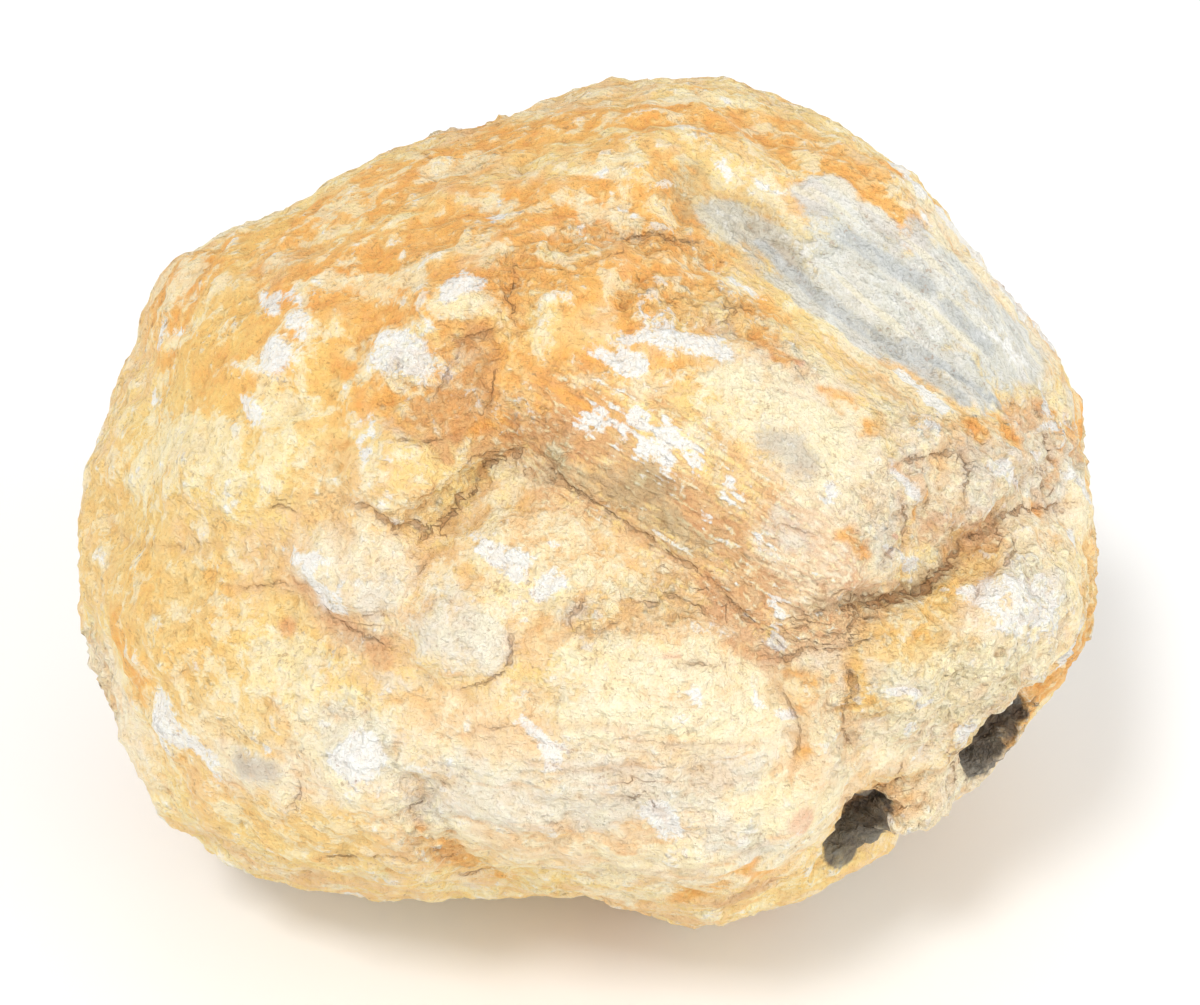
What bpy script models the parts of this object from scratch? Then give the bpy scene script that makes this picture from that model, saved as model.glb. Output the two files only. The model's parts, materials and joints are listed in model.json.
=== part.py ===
"""Quartz geode, whole and unopened: one closed nodule that stands on a small flat spot.

Metres, +Z up, origin on the floor under the middle of the box. The nodule is a squared-up
sphere stretched to the body's size and trimmed to its outline. Swells, creases and hollows
are then pressed into it, each placed by eye from one of the SIGHTS, and the foot is levelled.
"""

import math

import bmesh
import bpy
from mathutils import Vector
from mathutils.bvhtree import BVHTree
from mathutils.geometry import intersect_point_line

MM = 0.001

# Driving dimensions of the body, before anything is pressed into it.
LENGTH = 200 * MM
DEPTH = 174 * MM
HEIGHT = 152 * MM
FLAT_BELOW_MIDDLE = 72 * MM
FACES_ALONG_SIDE = 28

# The front is sighted from above: this far back from the middle, and this much over level.
SIGHT_DISTANCE = 647 * MM
SIGHT_ELEVATION = math.radians(38)

# Radius of the outline that the front sight sees, in mm, every 15 degrees from +X upwards.
OUTLINE_MM = (
    97, 95, 91, 91, 89, 87, 82, 77, 80, 83, 93, 90,
    99, 97, 100, 98, 87, 77, 74, 84, 86, 89, 94, 101,
)

# The trim to the outline fades this far before and behind it, to this share.
TRIM_REACH = 42 * MM
TRIM_KEPT = 0.35

# How often the faces are evened out once everything is pressed in.
EASING_PASSES = 2
EASING_FACTOR = 0.5

STONE_COLOUR = (0.80, 0.60, 0.36, 1.0)
STONE_ROUGHNESS = 0.85


def sight(eye_direction, up, distance):
    """A place to look from: its point, and the directions right, up and towards it."""
    towards = Vector(eye_direction).normalized()
    right = Vector(up).cross(towards).normalized()
    return {
        "eye": towards * distance,
        "right": right,
        "up": towards.cross(right),
        "towards": towards,
    }


SIGHTS = {
    "front": sight(
        (0, -math.cos(SIGHT_ELEVATION), math.sin(SIGHT_ELEVATION)),
        (0, 0, 1),
        SIGHT_DISTANCE,
    ),
    "back": sight((0, 1, 0.2), (0, 0, 1), SIGHT_DISTANCE),
    "left": sight((-1, 0, 0), (0, 0, 1), SIGHT_DISTANCE),
    "right": sight((1, 0, 0), (0, 0, 1), SIGHT_DISTANCE),
    "below": sight((0, -0.5, -1), (0, 1, 0), SIGHT_DISTANCE),
}

# Swells: name, sight, line of (across, up) in mm, reach, height.
SWELLS = (
    ("ridge", "front", ((-13, 39), (10, 24), (29, 12), (45, -1), (51, -13)), 26, 5.5),
    ("ridge nose", "front", ((47, -11),), 22, 3.0),
    ("curled crust", "front", ((66, 10), (76, 8)), 18, 3.5),
    ("right end knob", "front", ((91, 9),), 14, 2.5),
    ("lower right lobe", "front", ((60, -31), (74, -25), (88, -20)), 22, 6.0),
    ("pillar", "front", ((45, -37), (47, -50)), 11, 2.5),
    ("crumb between hollows", "front", ((66, -58),), 10, 3.0),
    ("belly", "front", ((-17, -50), (22, -54)), 42, 4.0),
    ("belly top", "front", ((20, -35),), 20, 3.0),
    ("belly end", "front", ((26, -69),), 22, 3.0),
    ("lower left lobe", "front", ((-66, -48), (-46, -58)), 34, 4.0),
    ("left lobe", "front", ((-84, -20),), 26, 3.0),
    ("upper left dome", "front", ((-62, 24), (-36, 34)), 38, 4.0),
    ("crown", "front", ((10, 66),), 30, 2.5),
    ("slab rim", "front", ((52, 67), (66, 52), (80, 34)), 15, 2.5),
    ("bowl lump", "front", ((-23, -26),), 13, 3.0),
    ("bowl lump beside", "front", ((-47, -14),), 14, 2.6),
    ("lip lump", "front", ((-37, 4),), 15, 3.5),
    ("bowl floor lump", "front", ((-7, -13),), 15, 2.4),
    ("back hump", "back", ((30, 8),), 42, 6.0),
    ("back hip", "back", ((-48, -6),), 36, 5.0),
    ("back knuckle", "back", ((-8, 34),), 26, 4.0),
    ("back heel", "back", ((4, -34),), 28, 4.0),
    ("left cheek", "left", ((-18, 14),), 28, 3.0),
    ("left heel", "left", ((22, -24),), 24, 3.0),
    ("right cheek", "right", ((24, 16),), 26, 3.0),
    ("right heel", "right", ((10, -30),), 22, 3.0),
)

# Creases and hollows: name, sight, line of (across, up) in mm, reach, depth.
CREASES = (
    ("under the ridge", "front", ((40, -31), (49, -27), (58, -21), (67, -14)), 12, 3.0),
    ("under the ridge, deep", "front", ((62, -20), (69, -15), (75, -11), (83, -6)), 9, 5.5),
    ("under the ridge, right end", "front", ((86, -4), (93, 1)), 9, 2.0),
    ("flank foot", "front",
     ((-17, 8), (-5, 4), (7, -3), (18, -12), (27, -20), (35, -26)), 12, 4.5),
    ("bowl head", "front", ((-31, -6), (-24, 0), (-15, 8)), 10, 5.0),
    ("lip underside", "front", ((-46, -1), (-33, -8)), 9, 2.5),
    ("bowl", "front", ((-6, -14),), 24, 2.5),
    ("bowl side", "front",
     ((-54, -22), (-44, -28), (-30, -36), (-16, -33), (-12, -24)), 10, 2.2),
    ("slab dish", "front", ((35, 52), (60, 36), (86, 20)), 24, 3.5),
    ("slab trench", "front",
     ((22, 60), (33, 49), (43, 40), (54, 31), (66, 23), (74, 18)), 10, 4.0),
    ("pillar right", "front", ((53, -33), (53, -41), (55, -50), (59, -55)), 9, 3.6),
    ("pillar left", "front", ((38, -37), (41, -45), (41, -53)), 10, 2.2),
    ("belly notch", "front", ((-35, -42), (-31, -56), (-28, -67), (-21, -76)), 10, 3.4),
    ("left waist", "front", ((-98, -6), (-80, -10), (-64, -15), (-54, -20)), 11, 3.0),
    ("near hollow", "front", ((52, -66), (56, -61)), 10, 7.0),
    ("far hollow", "front", ((76, -51), (83, -44)), 10, 7.0),
    ("fold down the back", "back",
     ((-20, 52), (-10, 20), (-14, -6), (0, -30), (-4, -56)), 13, 4.0),
    ("fold beside the hump", "back", ((-14, -2), (16, -18), (44, -24), (70, -14)), 12, 3.0),
    ("back dish", "back", ((60, 34),), 26, 3.5),
    ("back facet", "back", ((-64, 30),), 30, 4.0),
    ("left facet", "left", ((30, 34),), 30, 3.5),
    ("right facet", "right", ((46, 34),), 30, 3.5),
    ("left fold", "left", ((-50, -8), (-20, -12), (6, 2), (34, 26)), 12, 2.6),
    ("right fold", "right", ((-40, -24), (-8, -10), (20, -12), (48, 0)), 12, 3.0),
)


def outline_radius(turn):
    """The outline's radius at an angle in degrees, smoothly through OUTLINE_MM."""
    step = 360 / len(OUTLINE_MM)
    place = (turn % 360) / step
    first = int(place)
    before, start, end, after = (
        OUTLINE_MM[(first + k) % len(OUTLINE_MM)] for k in (-1, 0, 1, 2)
    )
    t = place - first
    return MM * 0.5 * (
        2 * start
        + (end - before) * t
        + (2 * before - 5 * start + 4 * end - after) * t**2
        + (3 * start - before - 3 * end + after) * t**3
    )


def smooth_step(t):
    t = min(max(t, 0.0), 1.0)
    return t * t * (3 - 2 * t)


def new_body():
    """A cube cut into even squares and blown up to a sphere of radius 1."""
    body = bmesh.new()
    bmesh.ops.create_cube(body, size=2)
    bmesh.ops.subdivide_edges(
        body, edges=body.edges[:], cuts=FACES_ALONG_SIDE - 1, use_grid_fill=True
    )
    for vert in body.verts:
        # The tangent evens out the squares, which would crowd at the cube's corners.
        vert.co = Vector(math.tan(c * math.pi / 4) for c in vert.co).normalized()
    return body


def stretch_to_size(body):
    for vert in body.verts:
        vert.co.x *= LENGTH / 2
        vert.co.y *= DEPTH / 2
        vert.co.z *= HEIGHT / 2


def trim_to_outline(body):
    """Draws each point in or out across the front sight, so that the rim follows the outline."""
    front = SIGHTS["front"]
    tall = math.hypot(
        DEPTH / 2 * math.sin(SIGHT_ELEVATION), HEIGHT / 2 * math.cos(SIGHT_ELEVATION)
    )
    for vert in body.verts:
        across, up = vert.co.dot(front["right"]), vert.co.dot(front["up"])
        towards = vert.co.dot(front["towards"])
        turn = math.atan2(up, across)
        rim = 1 / math.hypot(math.cos(turn) / (LENGTH / 2), math.sin(turn) / tall)
        nearness = smooth_step(math.hypot(across, up) / rim)
        nearness *= TRIM_KEPT + (1 - TRIM_KEPT) * math.exp(-((towards / TRIM_REACH) ** 2))
        grow = 1 + (outline_radius(math.degrees(turn)) / rim - 1) * nearness
        vert.co = (
            front["right"] * across * grow
            + front["up"] * up * grow
            + front["towards"] * towards
        )


def on_surface(body, sight_name, spots):
    """Where lines from the sight through each (across, up) spot meet the body."""
    tree = BVHTree.FromBMesh(body)
    seen_from = SIGHTS[sight_name]
    found = []
    for across, up in spots:
        aim = seen_from["right"] * across * MM + seen_from["up"] * up * MM
        place = tree.ray_cast(seen_from["eye"], aim - seen_from["eye"])[0]
        found.append(place or tree.find_nearest(aim)[0])
    return found


def distance_to_line(point, line):
    """The distance from a point to a chain of points, or to a single one."""
    nearest = min((point - corner).length for corner in line)
    for start, end in zip(line, line[1:]):
        foot, share = intersect_point_line(point, start, end)
        if 0 < share < 1:
            nearest = min(nearest, (point - foot).length)
    return nearest


def press(body, outwards, line, reach, height):
    """Moves the surface near the line out by height, or in where height is negative."""
    for vert, outward in zip(body.verts, outwards):
        away = distance_to_line(vert.co, line) / reach
        if away < 1:
            vert.co += outward * height * (1 - away * away) ** 2


def press_features(body):
    # One set of directions, from the plain body, keeps the faces even where features cross.
    body.normal_update()
    outwards = [vert.normal.copy() for vert in body.verts]
    for _name, seen_from, spots, reach, height in SWELLS:
        line = on_surface(body, seen_from, spots)
        press(body, outwards, line, reach * MM, height * MM)
    for _name, seen_from, spots, reach, depth in CREASES:
        line = on_surface(body, seen_from, spots)
        press(body, outwards, line, reach * MM, -depth * MM)


def ease(body):
    """Evens out the faces that the deeper creases pulled about."""
    for _ in range(EASING_PASSES):
        bmesh.ops.smooth_vert(
            body,
            verts=body.verts[:],
            factor=EASING_FACTOR,
            use_axis_x=True,
            use_axis_y=True,
            use_axis_z=True,
        )


def level_foot(body):
    """Flattens what would reach below the floor, and sets the origin under the middle."""
    for vert in body.verts:
        vert.co.z = max(vert.co.z, -FLAT_BELOW_MIDDLE)
    xs = [vert.co.x for vert in body.verts]
    ys = [vert.co.y for vert in body.verts]
    middle = Vector(
        ((min(xs) + max(xs)) / 2, (min(ys) + max(ys)) / 2, -FLAT_BELOW_MIDDLE)
    )
    bmesh.ops.translate(body, verts=body.verts[:], vec=-middle)
    return middle


def stone_material():
    material = bpy.data.materials.new("geode_crust")
    material.use_nodes = True
    shader = material.node_tree.nodes["Principled BSDF"]
    shader.inputs["Base Color"].default_value = STONE_COLOUR
    shader.inputs["Roughness"].default_value = STONE_ROUGHNESS
    shader.inputs["Metallic"].default_value = 0.0
    material.diffuse_color = STONE_COLOUR
    return material


def build_geode():
    for old in list(bpy.data.objects):
        bpy.data.objects.remove(old)
    body = new_body()
    stretch_to_size(body)
    trim_to_outline(body)
    press_features(body)
    ease(body)
    middle = level_foot(body)
    print("body middle over the origin, m:", [round(-c, 5) for c in middle])
    mesh = bpy.data.meshes.new("geode")
    body.to_mesh(mesh)
    body.free()
    mesh.shade_smooth()
    geode = bpy.data.objects.new("geode", mesh)
    geode.data.materials.append(stone_material())
    collection = bpy.data.collections.new("quartz_geode")
    bpy.context.scene.collection.children.link(collection)
    collection.objects.link(geode)


build_geode()
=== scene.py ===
import json
import math
import random

import bpy
import numpy as np
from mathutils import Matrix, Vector, noise
from mathutils.bvhtree import BVHTree
from mathutils.kdtree import KDTree

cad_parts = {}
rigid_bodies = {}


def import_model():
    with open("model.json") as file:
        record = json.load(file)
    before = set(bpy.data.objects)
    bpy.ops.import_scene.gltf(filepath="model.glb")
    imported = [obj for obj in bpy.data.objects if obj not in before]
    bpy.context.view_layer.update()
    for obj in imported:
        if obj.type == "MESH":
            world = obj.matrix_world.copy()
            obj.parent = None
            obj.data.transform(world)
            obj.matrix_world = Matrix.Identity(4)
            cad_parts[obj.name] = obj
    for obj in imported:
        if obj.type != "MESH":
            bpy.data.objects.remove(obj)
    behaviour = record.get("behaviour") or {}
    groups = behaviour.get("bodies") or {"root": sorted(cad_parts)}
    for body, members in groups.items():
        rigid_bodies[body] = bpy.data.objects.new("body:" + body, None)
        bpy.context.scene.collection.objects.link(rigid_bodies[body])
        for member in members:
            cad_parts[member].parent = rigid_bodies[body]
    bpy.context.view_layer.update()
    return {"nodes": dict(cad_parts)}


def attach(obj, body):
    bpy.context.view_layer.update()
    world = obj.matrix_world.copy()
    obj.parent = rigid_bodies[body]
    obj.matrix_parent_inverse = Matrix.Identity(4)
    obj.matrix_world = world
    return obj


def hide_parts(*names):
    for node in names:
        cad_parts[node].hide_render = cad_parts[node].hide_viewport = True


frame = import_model()
print("packed frame loaded:", sorted(frame["nodes"]))

mm = 0.001

# ---- the stone, and where its features are set out from ----

stone = {
    "middle": (-0.00017, 0.00151, 0.072),  # what every sight looks at, in metres
    "sightDistance": 0.647,
    "sightElevation": 38.0,  # degrees that the front sight looks down
    "fineLevels": 2,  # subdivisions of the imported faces
    "crackBand": 1.5,  # faces this near a crack, in mm, are cut finer, as craggy ones are
    "crackFaces": 7000,  # and at most this many of them
    "footClear": 9.0,  # height in mm over which the carving fades in above the flat foot
    "strokeStep": 3.0,  # mm between the places that a stroke is followed by
    "crackStep": 1.0,
    "seed": 11,
}

middle = Vector(stone["middle"])


def lookFrom(direction):
    towards = Vector(direction).normalized()
    right = Vector((0, 0, 1)).cross(towards).normalized()
    return {
        "eye": middle + towards * stone["sightDistance"],
        "right": right,
        "up": towards.cross(right),
        "towards": towards,
    }


tilt = math.radians(stone["sightElevation"])
sights = {
    "front": lookFrom((0, -math.cos(tilt), math.sin(tilt))),
    "back": lookFrom((0, 1, 0.2)),
    "left": lookFrom((-1, 0, 0)),
    "right": lookFrom((1, 0, 0)),
}

# Lumps, set out in the front sight: line of (across, up) in mm, reach, height.
lumps = [
    ([(-29, 39), (-19, 38)], 9, 2.0),  # oval lump with a white top
    ([(-39, 28), (-33, 28)], 7.5, 1.7), ([(-60, 12)], 7, 1.6), ([(-60, 28)], 6.5, 1.7), ([(-39, 12)], 7, 1.3),
    ([(-60, 50)], 8, 1.4), ([(-76, 30)], 8, 1.4), ([(-78, 10)], 9, 1.5), ([(-46, 48)], 8, 1.3),
    ([(-40, 3), (-32, 5)], 9, 2.2),  # the lip over the bowl
    ([(-28, -26), (-19, -27)], 11, 2.3),  # the grey-white lump in the bowl
    ([(-54, -13), (-49, -16)], 8, 1.5), ([(-41, -17)], 7, 1.2), ([(-10, -14)], 7, 1.1), ([(-2, -20)], 6, 1.1),
    ([(-18, -6)], 9, 1.0), ([(-63, -54)], 8, 1.5), ([(-45, -52)], 10, 1.2), ([(-82, -28)], 9, 1.5),
    ([(-70, -38)], 9, 1.2), ([(11, -58)], 4, 1.0),
    ([(44, -35), (45, -41), (46, -47)], 7, 1.9),  # the pillar
    ([(82, 10)], 6, 1.5),  # the curled crust at the right
    ([(87, 7)], 5, 1.3), ([(92, 11)], 5, 1.5), ([(95, 3)], 5, 1.3), ([(67, 14)], 6, 1.4), ([(63, 3)], 6, 1.5),
    ([(59, -3)], 5, 1.1), ([(77, 0)], 8, 1.5),
    ([(58, -60), (66, -62)], 7, 2.2),  # crumb between the hollows
    ([(80, -31)], 6, 1.3), ([(88, -33)], 5, 1.3), ([(84, -19)], 10, 1.4), ([(66, -37)], 10, 1.5),
    ([(12, 68)], 12, 1.6), ([(-8, 62)], 10, 1.4), ([(30, 70)], 10, 1.3), ([(48, 63)], 9, 1.2),
    ([(17, 33)], 8, 1.0), ([(-28, 60)], 10, 1.4), ([(6, 47)], 8, 1.1), ([(42, -62)], 9, 1.2),
    ([(20, -37)], 14, 1.3),
    ([(-80, 44), (-87, 37), (-90, 22)], 13, 1.6),  # the left rim
    ([(-97, 0), (-97, -24)], 13, 1.4), ([(-89, -45), (-82, -58)], 12, 2.0),
]

# Dips, as the lumps are.
dips = [
    ([(48, -71), (58, -67), (66, -63)], 7, 3.0),  # the rim below the near hollow
    ([(-8, 78), (4, 79)], 10, 1.3), ([(-14, 48), (-14, 38), (-18, 32)], 6, 1.3),
    ([(-48, 30), (-50, 20), (-50, 12)], 7, 1.2), ([(-24, 30), (-26, 22), (-20, 15)], 7, 1.2),
    ([(-31, -6), (-24, -1), (-22, 4), (-15, 8)], 5, 1.7), ([(-14, -26), (-16, -34), (-24, -37)], 4, 1.3),
    ([(-46, -24), (-38, -28)], 6, 0.8), ([(52, -21), (61, -18), (67, -14), (72, -9)], 4, 1.8),
    ([(74, -7), (83, -1), (93, -1)], 3.5, 1.6), ([(51, -33), (50, -40), (52, -47)], 5, 1.4),
    ([(38, -36), (40, -44), (40, -52)], 4.5, 1.3),
    ([(51, -66), (55, -61)], 6, 8.0),  # near hollow
    ([(78, -49), (82, -43)], 6.5, 9.0),  # far hollow
    ([(-33, -56), (-31, -62), (-28, -68), (-22, -73)], 6, 0.9),
    ([(34, 53), (43, 42), (54, 34), (66, 26)], 5, 1.4), ([(84, 4), (88, 2), (91, 4)], 3, 1.3),
    ([(71, -21), (76, -17)], 5, 1.0), ([(73, 12), (70, 6), (68, -1), (64, -8)], 4, 1.2),
]

# Painted shade inside the two hollows, in the front sight: line, how far in mm it lies under it, reach.
insides = [
    ([(51, -66), (55, -61)], 4.5, 4.8),
    ([(78, -49), (82, -43)], 5.0, 5.4),
]

# Cracks and ledges in each sight: line, dark width in mm, depth, and lift of the side to the left.
cracks = {
    "front": [
        ([(-31, -4), (-28, -3.5), (-25.5, -2), (-25, 1), (-23, 1.5), (-21, 3), (-20, 7), (-15, 9),
          (-12, 10.5)], 0.6, 1.5, 0.9),
        ([(-24, 7.5), (-22, 9), (-17, 9.8), (-10, 11)], 0.4, 0.7, 0.5),
        ([(-38, 12), (-30, 12), (-26, 12.5)], 0.3, 0.5, 0.4),
        ([(-46, 0), (-43, -1), (-40, -2.5), (-37, -5), (-33, -4), (-30, -5), (-33, -8)], 0.5, 0.9, 0.6),
        ([(-30.5, -10), (-31.5, -13), (-33, -15.5)], 0.3, 0.5, 0),
        ([(-64, -2), (-60, -1), (-55, -3)], 0.25, 0.4, 0.3), ([(-60, 1.5), (-56, 1)], 0.25, 0.3, 0.2),
        ([(-14, 46), (-14.5, 42), (-15, 40), (-14, 38), (-13.8, 34)], 0.55, 1.1, 0),
        ([(-26, 31.5), (-22, 32), (-17, 34)], 0.4, 0.8, 0.4),
        ([(3, 53), (7, 52), (12, 52.5), (20, 51), (23, 50.5)], 0.4, 0.8, 0.5),
        ([(2, 47), (7, 49), (6, 51)], 0.3, 0.5, 0.2),
        ([(25, 34), (27, 35), (30, 38), (33, 37)], 0.45, 0.9, 0.4), ([(25, 38.5), (29, 38)], 0.3, 0.5, 0.2),
        ([(-30, 20), (-28, 23), (-25, 30)], 0.35, 0.6, 0),
        ([(-20, 17), (-18, 24), (-17.5, 27)], 0.35, 0.6, 0),
        ([(28, 59), (34, 52), (38, 49), (41, 45), (43, 41.5), (50, 37), (58, 31), (66, 26),
          (72, 21)], 0.0, 1.1, 0.5),
        ([(36, 66), (42, 62), (46, 58), (50, 55), (58, 50), (64, 45), (69, 41)], 0.0, 0.5, 0.6),
        ([(62, 31), (70, 26), (76, 22), (80, 19)], 0.0, 0.8, 0.3),
        ([(-8, 8), (-4, 4), (0, 1), (3, -0.5), (7, -3), (11, -6), (15, -9), (20, -12), (25, -16), (30, -21),
          (35, -26), (38, -29)], 0.35, 0.9, 0.7),
        ([(0, 1), (-4, 3), (-9, 5)], 0.25, 0.4, 0.2),
        ([(9, -19), (13, -19), (14.5, -19.5), (15, -18), (18, -18.5), (19, -19), (22, -20),
          (25, -23)], 0.35, 0.7, 0.5),
        ([(-5, -26), (-2.5, -25), (-3, -23), (-1, -20), (0, -17)], 0.25, 0.5, 0.3),
        ([(-2, -25.5), (2, -25), (7, -23), (8.5, -21)], 0.2, 0.4, 0.3),
        ([(14, -14.5), (13.5, -17)], 0.25, 0.4, 0),
        ([(-25, -36), (-20, -35), (-16, -32), (-14, -28), (-15, -24)], 0.35, 0.8, 0.5),
        ([(-93, -3), (-91, -6), (-88, -8), (-80, -9), (-74, -10)], 0.1, 0.5, 0.3),
        ([(-77, -6), (-75, -8), (-71, -9)], 0.15, 0.3, 0.2),
        ([(-69, -16), (-62, -16), (-60, -15), (-56, -16)], 0.2, 0.6, 0.4),
        ([(-52, -18), (-50, -22), (-46, -25), (-41, -27), (-36, -29)], 0.25, 0.5, 0.3),
        ([(-46, -22), (-40, -22)], 0.25, 0.4, 0.3),
        ([(49, -21), (52, -20), (55, -19), (60, -18.2), (63, -17.5), (66, -15.5), (69, -13), (72, -9),
          (73, -7)], 0.8, 2.2, 1.3),
        ([(73, -7), (78, -5.5), (80, -3), (84, -1), (89, -1), (95, 0)], 0.6, 1.3, 0.6),
        ([(38, -19), (43, -22), (46, -21), (50, -17), (54, -17)], 0.25, 0.5, 0.4),
        ([(39, -25), (43, -24), (45, -26), (50, -25), (53, -22), (57, -22)], 0.3, 0.7, 0.5),
        ([(35, -30), (40, -30), (43, -28), (47, -28.5), (53, -27), (57, -25)], 0.4, 0.8, 0.5),
        ([(60, 7), (62, 8), (65, 9), (68, 10), (73, 10.5)], 0.4, 0.8, 0.6),
        ([(57, -12), (58, -10), (61, -8), (62, -3), (61, 2)], 0.4, 0.9, 0.7),
        ([(36, -4), (38, -4), (42, -5), (46, -6)], 0.2, 0.4, 0.4),
        ([(90.5, 7), (89, 12), (88, 14)], 0.45, 1.0, 0), ([(88, 2), (88.5, 8)], 0.5, 1.0, 0),
        ([(83, 4), (83.5, 9)], 0.35, 0.8, 0), ([(73, 0), (74, 6), (72, 12)], 0.35, 0.8, 0.3),
        ([(93, 17), (93.5, 14)], 0.35, 0.6, 0), ([(78, -14), (80, -12), (83, -9), (82, -6)], 0.3, 0.6, 0.3),
        ([(75, -20), (76, -15)], 0.3, 0.6, 0.3),
        ([(52, -48), (50, -44), (50, -40), (51.5, -37), (51, -34), (50, -30)], 0.4, 0.9, 0.5),
        ([(40, -51), (42, -44), (40, -40), (37, -35)], 0.25, 0.5, 0.3),
        ([(50, -57.5), (54, -57), (57, -55), (60, -53), (61, -50)], 0.8, 1.5, 0.8),
        ([(57, -59), (60, -59), (64, -58)], 0.4, 0.8, 0.4),
        ([(71, -56), (72, -53), (71, -50), (75, -47)], 0.5, 1.0, 0.5),
        ([(75, -46), (79, -42), (83, -40), (88, -37)], 0.5, 1.2, 0.8),
        ([(-33, -62), (-34, -60), (-32, -58), (-33, -54)], 0.3, 0.8, 0),
        ([(-30, -66), (-28, -69), (-25, -68)], 0.45, 1.0, 0.5),
        ([(-26, -71), (-24, -72), (-19, -71)], 0.45, 1.0, 0.4), ([(-22, -44), (-12, -43)], 0.2, 0.3, 0.2),
        ([(-8, -43.5), (0, -43.5), (6, -44)], 0.1, 0.2, 0.3),
        ([(10, -46), (20, -47), (25, -47), (30, -47)], 0.15, 0.3, 0.3),
        ([(18, -31.2), (22, -31.5), (27, -31.7)], 0.3, 0.5, 0.4),
        ([(5, -57), (9, -58), (12, -56.5), (15, -60)], 0.3, 0.7, 0.3),
        ([(-59, -60), (-57, -58), (-56, -55), (-56.5, -52)], 0.25, 0.5, 0.3),
        ([(-60, -62), (-56, -61)], 0.25, 0.4, 0.2), ([(-80, -34), (-76, -32)], 0.25, 0.5, 0.3),
        ([(-71, -47), (-71, -43)], 0.25, 0.4, 0), ([(-52, -69), (-44, -68), (-35, -69)], 0.3, 0.7, 0.5),
        ([(2, -71), (14, -72), (26, -70), (36, -66)], 0.1, 0.3, 0.3),
        ([(-12, -50), (0, -52), (12, -51)], 0.1, 0.2, 0.2),
        ([(10, -77), (24, -78), (36, -74)], 0.1, 0.3, 0.3),
    ],
    "back": [
        ([(-20, 50), (-12, 30), (-11, 10), (-13, -6), (-4, -24), (0, -40), (-4, -56)], 0.6, 1.6, 0.6),
        ([(-12, -3), (4, -14), (18, -19), (34, -22), (52, -20), (70, -14)], 0.5, 1.4, 0.8),
    ],
    "left": [
        ([(-50, -8), (-36, -12), (-20, -11), (-6, -4), (4, 3)], 0.5, 1.2, 0.7),
    ],
    "right": [
        ([(-40, -24), (-24, -18), (-8, -10), (8, -10), (22, -11), (36, -4), (50, 2)], 0.5, 1.3, 0.8),
    ],
}

# ---- helpers that place things on the stone ----


def stepped(spots, gap):
    # the same line with a point about every gap mm
    line = [Vector(spots[0])]
    for start, end in zip(spots, spots[1:]):
        start, end = Vector(start), Vector(end)
        count = max(1, round((end - start).length / gap))
        line += [start.lerp(end, k / count) for k in range(1, count + 1)]
    return line


def dropOn(tree, sight, spots):
    # where lines from the sight through the spots meet the stone, with the normals there
    found = []
    for across, up in spots:
        aim = middle + sight["right"] * across * mm + sight["up"] * up * mm
        hit = tree.ray_cast(sight["eye"], aim - sight["eye"])
        found.append(hit[:2] if hit[0] else tree.find_nearest(aim)[:2])
    return found


def placesOn(tree, sightName, spots):
    return [place for place, _ in dropOn(tree, sights[sightName], stepped(spots, stone["strokeStep"]))]


def distanceTo(points, line):
    # distance in mm from every point to a chain of places
    line = [np.array(place) for place in line]
    nearest = np.full(len(points), np.inf)
    for start, end in zip(line, line[1:] or line):
        along = end - start
        length = max(along @ along, 1e-12)
        share = np.clip((points - start) @ along / length, 0, 1)
        gap = points - start - share[:, None] * along
        nearest = np.minimum(nearest, np.einsum("ij,ij->i", gap, gap))
    return np.sqrt(nearest) / mm


def smooth(low, high, values):
    share = np.clip((values - low) / (high - low), 0, 1)
    return share * share * (3 - 2 * share)


def pointsOf(piece, what="co"):
    flat = np.empty(len(piece.data.vertices) * 3, np.float32)
    piece.data.vertices.foreach_get(what, flat)
    return flat.reshape(-1, 3).astype(float)


def treeOf(piece):
    return BVHTree.FromObject(piece, bpy.context.evaluated_depsgraph_get())


def pressOf(tree, points, strokes):
    # how far in mm the strokes of the front sight move each point
    total = np.zeros(len(points))
    for spots, reach, height in strokes:
        away = distanceTo(points, placesOn(tree, "front", spots)) / reach
        total += height * np.where(away < 1, (1 - away**2) ** 2, 0)
    return total


def offFoot(points):
    return smooth(0.6, stone["footClear"], points[:, 2] / mm)


# ---- carving with Displace modifiers ----


def displace(piece, name, amount, texture=None, guide=None):
    # amount is the move in mm of every point, which a texture then varies between -half and half
    peak = float(np.abs(amount).max())
    group = piece.vertex_groups.new(name=name)
    for index in np.nonzero(np.abs(amount) > peak * 0.002)[0]:
        group.add([int(index)], float(abs(amount[index]) / peak), "REPLACE")
    modifier = piece.modifiers.new(name, "DISPLACE")
    modifier.vertex_group = group.name
    modifier.strength = peak * mm
    modifier.mid_level = 0.0 if texture is None else 0.5
    if amount.sum() < 0:
        modifier.strength = -peak * mm
    if texture is not None:
        modifier.texture = texture
        modifier.texture_coords = "LOCAL"
    if guide is not None:
        modifier.texture_coords = "OBJECT"
        modifier.texture_coords_object = guide
    bpy.ops.object.modifier_apply(modifier=modifier.name)
    piece.vertex_groups.remove(piece.vertex_groups[name])


def evenOut(piece, share):
    group = piece.vertex_groups.new(name="even")
    for index in np.nonzero(share > 0.02)[0]:
        group.add([int(index)], float(share[index]), "REPLACE")
    modifier = piece.modifiers.new("even", "SMOOTH")
    modifier.vertex_group = group.name
    bpy.ops.object.modifier_apply(modifier=modifier.name)
    piece.vertex_groups.remove(piece.vertex_groups["even"])


def noiseTexture(name, kind, size, **settings):
    texture = bpy.data.textures.new(name, kind)
    texture.noise_scale = size * mm
    for key, value in settings.items():
        setattr(texture, key, value)
    return texture


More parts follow.
